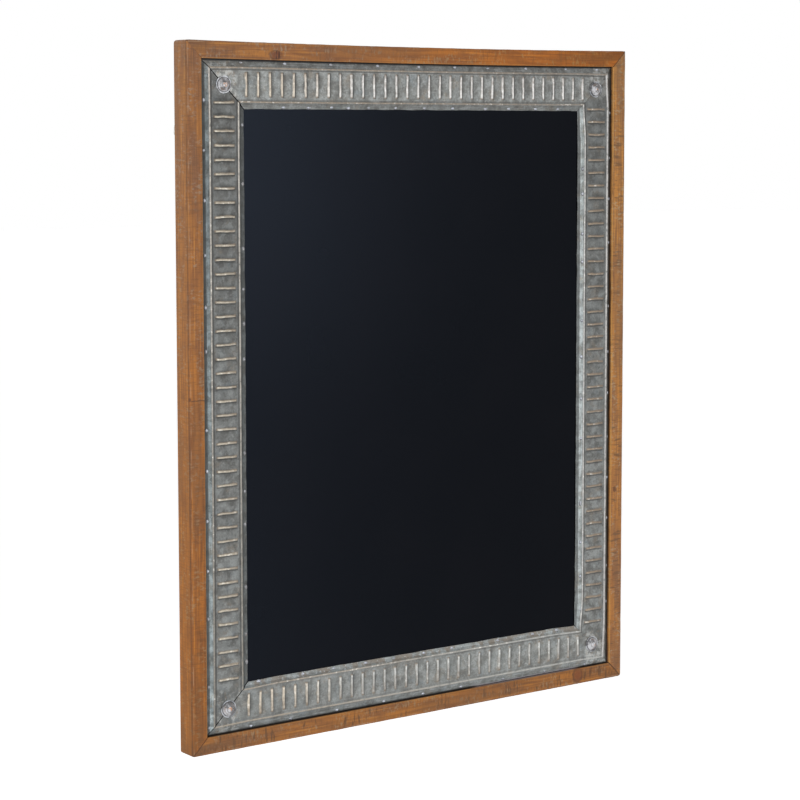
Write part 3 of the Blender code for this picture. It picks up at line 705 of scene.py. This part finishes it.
for side, (turn, reach, half_span) in SIDES.items():
    pitches = RIB_COUNTS[side] + 8
    cells = pitches * CELLS_PER_PITCH + 1
    strip = primitive(
        bpy.ops.mesh.primitive_grid_add,
        f"pressed_strip_{side}",
        x_subdivisions=cells,
        y_subdivisions=BAND_ROWS,
        size=1.0,
        location=(RIB_SHIFTS[side], CHANNEL_DEPTH, -BAND_MIDDLE),
        rotation=(math.pi / 2, 0.0, 0.0),
        scale=(cells * RIB_PITCH / CELLS_PER_PITCH, RIB_LENGTH, 1.0),
    )
    bpy.ops.object.mode_set(mode="EDIT")
    extrude_to(
        strip,
        (BAND_MIDDLE - RIB_LENGTH / 2, CHANNEL_DEPTH),
        (
            (BEAD_OUTER + BEAD_HALF, CHANNEL_DEPTH),
            (BEAD_OUTER, CREST_DEPTH),
            (BEAD_OUTER - BEAD_HALF, CHANNEL_DEPTH),
            ((STRIP_OUTER + BEAD_OUTER - BEAD_HALF) / 2, (CHANNEL_DEPTH + FOOT_DEPTH) / 2),
            (STRIP_OUTER, FOOT_DEPTH),
        ),
    )
    extrude_to(
        strip,
        (BAND_MIDDLE + RIB_LENGTH / 2, CHANNEL_DEPTH),
        (
            (BEAD_INNER - BEAD_HALF, CHANNEL_DEPTH),
            (BEAD_INNER, CREST_DEPTH),
            (BEAD_INNER + BEAD_HALF, CHANNEL_DEPTH),
            (STEP_INSET, STEP_DEPTH),
            ((STEP_INSET + STRIP_INNER) / 2, (STEP_DEPTH + FOOT_DEPTH) / 2),
            (STRIP_INNER, FOOT_DEPTH),
        ),
    )
    crests = (BEAD_OUTER, BEAD_INNER)
    choose(strip, "EDGE", lambda point: any(abs(point.z + crest) < SHEET / 2 for crest in crests))
    bpy.ops.mesh.bevel(offset=CREST_BEVEL, segments=4, affect="EDGES")
    feet = [crest + away for crest in crests for away in (-BEAD_HALF, BEAD_HALF)] + [STEP_INSET]
    choose(strip, "EDGE", lambda point: any(abs(point.z + foot) < SHEET / 4 for foot in feet))
    bpy.ops.mesh.bevel(offset=FOOT_BEVEL, segments=2, affect="EDGES")
    for end, gap in zip((-1, 1), MITRE_GAPS[side]):
        bpy.ops.mesh.select_mode(type="FACE")
        bpy.ops.mesh.select_all(action="SELECT")
        bpy.ops.mesh.bisect(
            plane_co=(end * (half_span - gap * math.sqrt(2)), 0.0, 0.0),
            plane_no=(end, 0.0, -1.0),
            clear_outer=True,
        )

    def on_rib(point):
        pitch = (point.x - RIB_SHIFTS[side]) / RIB_PITCH
        return (
            abs(point.z + BAND_MIDDLE) < RIB_LENGTH / 2
            and abs(pitch) < RIB_COUNTS[side] / 2
            and abs(pitch % 1 - 0.5) < 0.5 / CELLS_PER_PITCH
        )

    choose(strip, "FACE", on_rib)
    bpy.ops.mesh.inset(thickness=RIB_DRAFT, depth=RIB_RISE, use_individual=False)
    bpy.ops.mesh.region_to_loop()
    bpy.ops.mesh.bevel(offset=FOOT_BEVEL, segments=3, affect="EDGES")
    bpy.ops.object.mode_set(mode="OBJECT")
    store(
        strip.data,
        "strip",
        [
            ((vert.co.x - RIB_SHIFTS[side]) * LEES[side], -vert.co.z, CHANNEL_DEPTH - vert.co.y)
            for vert in strip.data.vertices
        ],
    )
    for vert in strip.data.vertices:
        inset = -vert.co.z
        if inset < BAND_MIDDLE - RIB_LENGTH / 2:
            share = min(1.0, (BAND_MIDDLE - RIB_LENGTH / 2 - inset) / BOW_FADE)
            vert.co.z -= bow(side, vert.co.x) * share
        vert.co.z -= stray(side, vert.co.x, inset)
        if inset > STEP_INSET:
            share = (inset - STEP_INSET) / (STRIP_INNER - STEP_INSET)
            wave = noise.noise(Vector((vert.co.x * RIM_WAVE_ALONG, turn * 9, 0.0)))
            vert.co.z += FLANGE_WAVE * share * (wave + 0.4)
            lift = noise.noise(Vector((vert.co.x * RIM_WAVE_OUT, turn * 7, 4.0)))
            vert.co.y -= FLANGE_WAVE * share * abs(lift)
    dents = bpy.data.textures.new("sheet_dents", "CLOUDS")
    dents.noise_scale = DENT_SIZE
    dents.noise_depth = 1
    dent = strip.modifiers.new("dents", "DISPLACE")
    dent.texture = dents
    dent.direction = "Y"
    dent.strength = DENT_DEPTH
    wall = strip.modifiers.new("sheet", "SOLIDIFY")
    wall.thickness = SHEET
    wall.offset = -1.0
    apply_all(strip)
    strip.data.transform(Matrix.Translation((0.0, FRONT_Y, reach)))
    strip.data.transform(Matrix.Translation((0.0, 0.0, CENTRE_Z)) @ Matrix.Rotation(turn, 4, "Y"))
    smooth(strip, 50)
    paint(strip, strip_finish(side))
    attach(strip, "frame")
    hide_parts(f"steel_strip_{side}")

# Corner nails: big upholstery nails, pressed from sheet, whose domes cover the mitres of the steel. Each
# has a thin turned-out rim, a small dent where it was struck, and brown stains round the foot of its dome,
# with a ring of painted shadow at the foot itself and painted bluish highlights on parts of its rim.
NAIL_RIM = 0.0092
NAIL_DOME = 0.0077
NAIL_RISE = 0.0034
NAIL_EDGE = 0.0005
NAIL_SHANK = 0.0012
NAIL_REACH = 0.0072
NAIL_TIP = 0.0025
NAIL_RINGS = 9
# The steps of a nail's face from its rim to the foot of its dome: how far in, and how far up
NAIL_FOOT_STEPS = (
    (0.0004, 0.00012),
    (0.0007, -0.0003),
    (NAIL_RIM - NAIL_DOME - 0.0011, 0.0001),
    (0.0001, 0.0005),
)
# The dent in a nail's middle, its edge as a share of the last ring; and the ripples of its rim and dome
NAIL_DIMPLE = 0.00025
NAIL_DIMPLE_EDGE = 0.45
NAIL_RIPPLE_SCALE = 260
NAIL_RIPPLE_OUT = 0.00018
NAIL_RIPPLE_UP = 0.00010
# Where each nail's ripples are read in the noise
NAIL_RIPPLES = {"top_left": 2.0, "top_right": 10.0, "bottom_left": 17.0, "bottom_right": 25.5}


def nail_finish():
    """Nickelled steel with brown rings and spots, a painted shadow ring at the dome's foot and painted bluish
    highlights on the rim; reach is 0 at a nail's middle and 1 at its rim.
    """
    made, shader, wire = new_finish("nail_steel")
    place = wire.place()
    reach = wire.stored("reach").split()[0]
    patch = place.clouds(150.0, 3.0, 0.6)
    stain = place.clouds(190.0, 3.0, 0.6, move=(2.0, 5.0, 1.0))
    grit = place.clouds(1400.0, 2.0, 0.6)
    rim = reach.rise(0.90, 0.95)
    colour = patch.rise(0.38, 0.56).blend((0.150, 0.152, 0.160), (0.580, 0.585, 0.610)).coated(
        (stain.rise(0.46, 0.58) * reach.near(0.62, 0.20) * 0.60, (0.190, 0.120, 0.082)),
        (stain.rise(0.44, 0.54) * reach.rise(0.36, 0.20) * 0.85, (0.460, 0.220, 0.100)),
        (reach.near(0.36, 0.09) * 0.65, (0.070, 0.055, 0.050)),
        (grit.rise(0.55, 0.75) * 0.30, (0.080, 0.070, 0.065)),
        # Painted shadow: a near-black ring round the foot of the dome
        (reach.near(0.84, 0.11) * 0.85, (0.030, 0.029, 0.030)),
        # Painted highlight: bluish-white patches on the rim
        (rim * stain.rise(0.54, 0.44) * 0.45, (0.400, 0.450, 0.520)),
        (rim * stain.rise(0.50, 0.58) * 0.80, (0.060, 0.058, 0.060)),
    )
    normal = (patch + grit * 0.3).bump(0.5, 0.0004)
    connect(shader, Base_Color=colour, Metallic=0.30, Roughness=0.26 + 0.25 * stain, Normal=normal)
    return made


nail_steel = nail_finish()
for corner, ripple_place in NAIL_RIPPLES.items():
    node = f"corner_nail_{corner}"
    low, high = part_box(node)
    centre = (low + high) / 2
    nail = primitive(
        bpy.ops.mesh.primitive_cylinder_add,
        f"domed_nail_{corner}",
        vertices=48,
        radius=NAIL_RIM,
        depth=NAIL_EDGE,
        location=(centre.x, low.y + NAIL_RISE + NAIL_EDGE / 2, centre.z),
        rotation=(math.pi / 2, 0.0, 0.0),
    )
    nail.data.transform(Matrix.Translation(-centre))
    bpy.ops.object.mode_set(mode="EDIT")
    face = low.y + NAIL_RISE - centre.y
    choose(nail, "FACE", lambda point: point.length < NAIL_RIM / 2 and point.y < face + NAIL_EDGE / 5)
    for thickness, depth in NAIL_FOOT_STEPS:
        bpy.ops.mesh.inset(thickness=thickness, depth=depth)
    ball = (NAIL_DOME**2 + NAIL_RISE**2) / (2 * NAIL_RISE)
    outer = NAIL_DOME - NAIL_FOOT_STEPS[-1][0]
    height = sum(depth for _, depth in NAIL_FOOT_STEPS)
    for ring in range(1, NAIL_RINGS + 1):
        radius = NAIL_DOME * (1 - ring / (NAIL_RINGS + 1)) + NAIL_FOOT_STEPS[-1][0]
        top = math.sqrt(ball**2 - radius**2) - (ball - NAIL_RISE)
        bpy.ops.mesh.inset(thickness=outer - radius, depth=top - height)
        outer, height = radius, top
    bpy.ops.mesh.inset(thickness=outer * NAIL_DIMPLE_EDGE, depth=-NAIL_DIMPLE)
    bpy.ops.mesh.poke()
    choose(nail, "FACE", lambda point: point.y > face + NAIL_EDGE * 0.8)
    bpy.ops.mesh.inset(thickness=NAIL_RIM - NAIL_SHANK)
    bpy.ops.mesh.extrude_region_move(TRANSFORM_OT_translate={"value": (0.0, NAIL_REACH - NAIL_TIP, 0.0)})
    bpy.ops.mesh.extrude_region_move(TRANSFORM_OT_translate={"value": (0.0, NAIL_TIP, 0.0)})
    bpy.ops.mesh.merge(type="CENTER")
    bpy.ops.mesh.select_all(action="SELECT")
    bpy.ops.mesh.normals_make_consistent(inside=False)
    bpy.ops.object.mode_set(mode="OBJECT")
    store(nail.data, "reach", [(vert.co.xz.length / NAIL_RIM, 0.0, 0.0) for vert in nail.data.vertices])
    for vert in nail.data.vertices:
        if vert.co.y < face:
            ripple = noise.noise(vert.co * NAIL_RIPPLE_SCALE + Vector((ripple_place, 0.0, 0.0)))
            vert.co.y += NAIL_RIPPLE_OUT * abs(ripple)
            vert.co.z += NAIL_RIPPLE_UP * ripple
    nail.data.transform(Matrix.Translation(centre))
    smooth(nail, 60)
    paint(nail, nail_steel)
    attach(nail, "frame")
    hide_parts(node)

# Small pins: bright steel pins with little domed heads, which tack both flanges of every strip. They were
# driven by eye, at uneven steps. One is modelled and copied along each flange, and a strip's are joined.
PIN_RADIUS = 0.0018
PIN_SPREAD = 1.5
PIN_RISE = 0.0009
PIN_DEPTH = 0.0045
PIN_UNEVEN = 0.0006
PIN_CHANCE_SCALE = 90
# A pin's head, as shares of its radius and of its rise
PIN_HEAD_STEPS = ((0.12, 0.45), (0.30, 0.40), (0.30, 0.15))
# How far in each row of pins lies and how deep, and the right side's inner row, which is on the step
PIN_ROWS = ((0.0222, 0.0034), (0.0690, 0.0036))
STEP_PINS = (0.0632, 0.0023)
# Where the pins stand along each side's outer flange and along its inner one
PIN_PLACES = {
    "top": (
        (
            -0.2318, -0.1772, -0.1186, -0.0569, -0.0015,
            0.0484, 0.0952, 0.1503, 0.2100, 0.2573,
        ),
        (
            -0.1788, -0.1471, -0.1175, -0.0953, -0.0690, -0.0328,
            0.0067, 0.0456, 0.0924, 0.1257, 0.1653, 0.1982,
        ),
    ),
    "bottom": (
        (
            -0.2447, -0.1827, -0.1200, -0.0580, -0.0042,
            0.0502, 0.1136, 0.1740, 0.2250,
        ),
        (
            -0.2009, -0.1643, -0.1120, -0.0451, -0.0054,
            0.0364, 0.0746, 0.1175, 0.1582, 0.2146,
        ),
    ),
    "left": (
        (
            -0.3481, -0.3039, -0.2310, -0.1798, -0.1266, -0.0737, -0.0304,
            0.0525, 0.0988, 0.1530, 0.2100, 0.2620, 0.3138,
        ),
        (
            -0.2832, -0.2529, -0.2021, -0.1343, -0.0990, -0.0580,
            0.0420, 0.0795, 0.1160, 0.1586, 0.2267, 0.2882,
        ),
    ),
    "right": (
        (
            -0.3028, -0.2500, -0.2016, -0.1500, -0.0745, -0.0200,
            0.0292, 0.0820, 0.1310, 0.1800, 0.2379, 0.2817,
        ),
        (
            -0.2374, -0.2082, -0.1614, -0.1285, -0.0590, -0.0165,
            0.0333, 0.0809, 0.1585, 0.2053, 0.2462, 0.2860,
        ),
    ),
}

pin = primitive(
    bpy.ops.mesh.primitive_cylinder_add,
    "pin",
    vertices=14,
    radius=PIN_RADIUS,
    depth=PIN_DEPTH,
    rotation=(math.pi / 2, 0.0, 0.0),
)
pin.data.transform(Matrix.Translation((0.0, PIN_DEPTH / 2, 0.0)))
bpy.ops.object.mode_set(mode="EDIT")
choose(pin, "FACE", lambda point: point.length < PIN_RADIUS / 4)
for inward, upward in PIN_HEAD_STEPS:
    bpy.ops.mesh.inset(thickness=PIN_RADIUS * inward, depth=PIN_RISE * upward)
bpy.ops.object.mode_set(mode="OBJECT")
pin_steel, shader, wire = new_finish("pin_steel")
place = wire.place()
mottle = place.clouds(900.0, 3.0, 0.6)
smudge = place.clouds(420.0, 2.0, 0.5, move=(3.0, 3.0, 0.0))
faded = place.clouds(34.0, 2.0, 0.5, move=(1.0, 0.0, 6.0))
# Painted shade: the undersides of the pins are painted darker
under = wire.node("ShaderNodeNewGeometry", output=1).split()[2].rise(0.10, -0.45)
# Painted shade: the pins on the left strip's inner flange, which lies in shade, are painted dimmer
left_inner_pin_shade = place.split()[0].near(PIN_ROWS[1][0] - HALF_WIDTH, 0.004).rise(0.0, 0.3)
colour = mottle.rise(0.35, 0.65).blend((0.340, 0.360, 0.410), (0.560, 0.590, 0.650)).coated(
    (faded.rise(0.50, 0.62) * 0.70, (0.190, 0.200, 0.215)),
    (under * 0.7, (0.080, 0.076, 0.080)),
    (left_inner_pin_shade * 0.65, (0.185, 0.180, 0.180)),
    (smudge.rise(0.52, 0.65) * 0.5, (0.160, 0.130, 0.110)),
)
normal = mottle.bump(0.3, 0.0002)
connect(shader, Base_Color=colour, Metallic=0.5, Roughness=0.30 + 0.2 * mottle, Normal=normal)
paint(pin, pin_steel)
for side, (turn, reach, half_span) in SIDES.items():
    copies = []
    for row, (inset, depth) in enumerate(PIN_ROWS):
        if side == "right" and row == 1:
            inset, depth = STEP_PINS
        for along in PIN_PLACES[side][row]:
            chance = noise.noise(Vector((along * PIN_CHANCE_SCALE, row * 11.3 + turn * 5, 2.0)))
            inset_here = inset + PIN_UNEVEN * chance + (bow(side, along) if row == 0 else 0.0)
            copy = pin.copy()
            copy.data = pin.data.copy()
            spread = Matrix.Diagonal((1.0 + (PIN_SPREAD - 1.0) * (0.6 + chance), 1.0, 1.0, 1.0))
            copy.data.transform(Matrix.Translation((along, FRONT_Y + depth, reach - inset_here)) @ spread)
            bpy.context.scene.collection.objects.link(copy)
            copies.append(copy)
    only(copies[0])
    for copy in copies:
        copy.select_set(True)
    bpy.ops.object.join()
    pins = bpy.context.object
    pins.name = f"flange_pins_{side}"
    pins.data.transform(Matrix.Translation((0.0, 0.0, CENTRE_Z)) @ Matrix.Rotation(turn, 4, "Y"))
    smooth(pins, 50)
    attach(pins, "frame")
bpy.data.objects.remove(pin)

# Writing panel: thin fibreboard, sprayed with smooth black chalkboard paint in front and bare behind.
# It lies in the frame's rabbet, and the steel lies on its border.
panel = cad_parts["chalkboard_panel"]
panel_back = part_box("chalkboard_panel")[1].y
chalkboard, shader, wire = new_finish("chalkboard_paint")
place = wire.place()
toward_wall = place.split()[1]
bare = toward_wall.rise(panel_back - 0.0012, panel_back - 0.0006)
film = place.clouds(9.0, 3.0, 0.5)
specks = place.clouds(2600.0, 2.0, 0.5)
fibres = place.clouds(420.0, 4.0, 0.7)
black = film.rise(0.3, 0.7).blend((0.0010, 0.0007, 0.0007), (0.0016, 0.0011, 0.0011))
board = fibres.rise(0.3, 0.7).blend((0.145, 0.082, 0.045), (0.235, 0.142, 0.082))
connect(
    shader,
    Base_Color=bare.blend(black, board),
    Roughness=0.26 + 0.04 * film + 0.40 * bare,
    Normal=(specks + fibres * bare * 4).bump(0.12, 0.0001),
    Specular_IOR_Level=0.08,
    Specular_Tint=(0.52, 0.68, 1.0, 1.0),
)
paint(panel, chalkboard)

# Panel points: thin pointed plates of bright steel, pressed into the rails behind the writing panel.
# V-nails: folded wedges of the same steel, driven across each mitre from behind.
bright_steel, shader, wire = new_finish("bright_steel")
place = wire.place()
scuffs = place.clouds(500.0, 3.0, 0.6, (1.0, 1.0, 6.0))
spots = place.clouds(260.0, 3.0, 0.6)
colour = scuffs.rise(0.35, 0.65).blend((0.420, 0.420, 0.410), (0.600, 0.600, 0.590))
connect(
    shader,
    Base_Color=colour.coated((spots.rise(0.58, 0.70) * 0.5, (0.220, 0.170, 0.130))),
    Metallic=0.85,
    Roughness=0.30 + 0.22 * scuffs,
    Normal=scuffs.bump(0.25, 0.0001),
)
for name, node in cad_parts.items():
    if name.startswith(("panel_point_", "v_nail_")):
        paint(node, bright_steel)

# Hangers: each a nickelled strap folded round its D-ring and held by two pan-head screws. The rings and
# the screws are smoothed copies of their solids, and each screw has a cross recess.
RECESS_SIZE = (0.0030, 0.0018, 0.0007)
nickel, shader, wire = new_finish("nickelled_steel")
place = wire.place()
brushed = place.clouds(700.0, 3.0, 0.6, (1.0, 1.0, 9.0))
dull = place.clouds(180.0, 3.0, 0.6)
colour = brushed.rise(0.35, 0.65).blend((0.500, 0.470, 0.430), (0.640, 0.610, 0.560))
connect(
    shader,
    Base_Color=colour.coated((dull.rise(0.52, 0.70) * 0.4, (0.330, 0.280, 0.220))),
    Metallic=0.9,
    Roughness=0.26 + 0.2 * dull,
    Normal=brushed.bump(0.2, 0.0001),
)
for hand in ("left", "right"):
    paint(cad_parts[f"hanger_strap_{hand}"], nickel)
    ring = solid_copy(f"hanger_ring_{hand}", f"d_ring_{hand}")
    ring.data.shade_smooth()
    paint(ring, nickel)
    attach(ring, f"{hand}_ring")
    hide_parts(f"hanger_ring_{hand}")
    for end in ("upper", "lower"):
        node = f"hanger_screw_{hand}_{end}"
        low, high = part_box(node)
        head = ((low.x + high.x) / 2, high.y, (low.z + high.z) / 2)
        screw = solid_copy(node, f"cross_screw_{hand}_{end}")
        for size in (RECESS_SIZE, RECESS_SIZE[::-1]):
            cutter = primitive(bpy.ops.mesh.primitive_cube_add, "cutter", size=1.0, location=head, scale=size)
            cut = screw.modifiers.new("recess", "BOOLEAN")
            cut.object = cutter
            cut.solver = "EXACT"
            apply_all(screw)
            bpy.data.objects.remove(cutter)
        smooth(screw, 40)
        paint(screw, nickel)
        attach(screw, "frame")
        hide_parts(node)

# Bumpers: round black rubber buttons on the lower corners of the back, which keep the frame off the wall.
rubber, shader, wire = new_finish("bumper_rubber")
place = wire.place()
bloom = place.clouds(240.0, 3.0, 0.6)
pores = place.clouds(1500.0, 2.0, 0.5)
connect(
    shader,
    Base_Color=bloom.rise(0.35, 0.70).blend((0.012, 0.012, 0.012), (0.030, 0.029, 0.028)),
    Roughness=0.60 + 0.25 * bloom,
    Normal=pores.bump(0.4, 0.0002),
)
for hand in ("left", "right"):
    paint(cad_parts[f"bumper_{hand}"], rubber)

# Floor, lamps and sky: the board hangs on its hooks well above a pale floor, in a white studio.
FLOOR_DROP = 0.9
FLOOR_SIZE = 60.0
SKY_LIGHT = 0.24


def looked_at(wire):
    """1 where the camera looks straight, in a mirror or through glass, and 0 for the light on things."""
    seen, shone, passed = (wire.node("ShaderNodeLightPath", output=output) for output in (0, 3, 6))
    return seen.most(shone).most(passed)


floor = primitive(
    bpy.ops.mesh.primitive_grid_add,
    "floor",
    x_subdivisions=4,
    y_subdivisions=4,
    size=FLOOR_SIZE,
    location=(0.0, 0.0, FRAME_LOW.z - FLOOR_DROP),
)
paper, shader, wire = new_finish("pale_floor")
connect(shader, Base_Color=(0.86, 0.86, 0.86, 1.0), Roughness=0.9)
connect(shader, Emission_Strength=1.0, Emission_Color=looked_at(wire).blend((0, 0, 0), (0.75, 0.75, 0.75)))
paint(floor, paper)

world = bpy.data.worlds.new("studio")
bpy.context.scene.world = world
world.use_nodes = True
wire = Wire(world.node_tree)
sky = world.node_tree.nodes["Background"]
sky.inputs["Color"].default_value = (1.0, 1.0, 1.0, 1.0)
world.node_tree.links.new(looked_at(wire).between(SKY_LIGHT, 1.0).socket, sky.inputs["Strength"])


def lamp(name, place, size, power):
    """A plain rectangular lamp that faces the board's middle."""
    light = bpy.data.lights.new(name, "AREA")
    light.shape = "RECTANGLE"
    light.size, light.size_y = size
    light.energy = power
    made = bpy.data.objects.new(name, light)
    bpy.context.scene.collection.objects.link(made)
    made.location = place
    toward = Vector((0.0, 0.0, CENTRE_Z)) - Vector(place)
    made.rotation_euler = toward.to_track_quat("-Z", "Y").to_euler()


lamp("lamp_key", (-2.6, -1.4, 0.2), (0.9, 0.9), 41.0)
lamp("lamp_low", (1.00, -2.55, -1.05), (0.5, 0.9), 6.0)
lamp("lamp_gloss", (1.12, -2.5, 0.02), (0.5, 1.0), 14.5)
lamp("lamp_back", (0.6, 2.6, 1.4), (1.6, 1.6), 22.0)

# Camera: a long lens, left of the board and level with its top, as the photograph was taken.
EYE_PLACE = (-1.4521, -1.9962, -0.0095)
EYE_YAW = -35.814
EYE_PITCH = -5.09
EYE_ROLL = -0.056
eye = bpy.data.cameras.new("camera")
eye.lens = 99.24
eye.sensor_width = 36.0
eye.shift_y = -0.09
camera = bpy.data.objects.new("camera", eye)
bpy.context.scene.collection.objects.link(camera)
camera.location = EYE_PLACE
camera.rotation_euler = (
    Matrix.Rotation(math.radians(EYE_YAW), 3, "Z")
    @ Matrix.Rotation(math.radians(90.0 + EYE_PITCH), 3, "X")
    @ Matrix.Rotation(math.radians(EYE_ROLL), 3, "Z")
).to_euler()
bpy.context.scene.camera = camera
bpy.context.scene.view_settings.view_transform = "Standard"
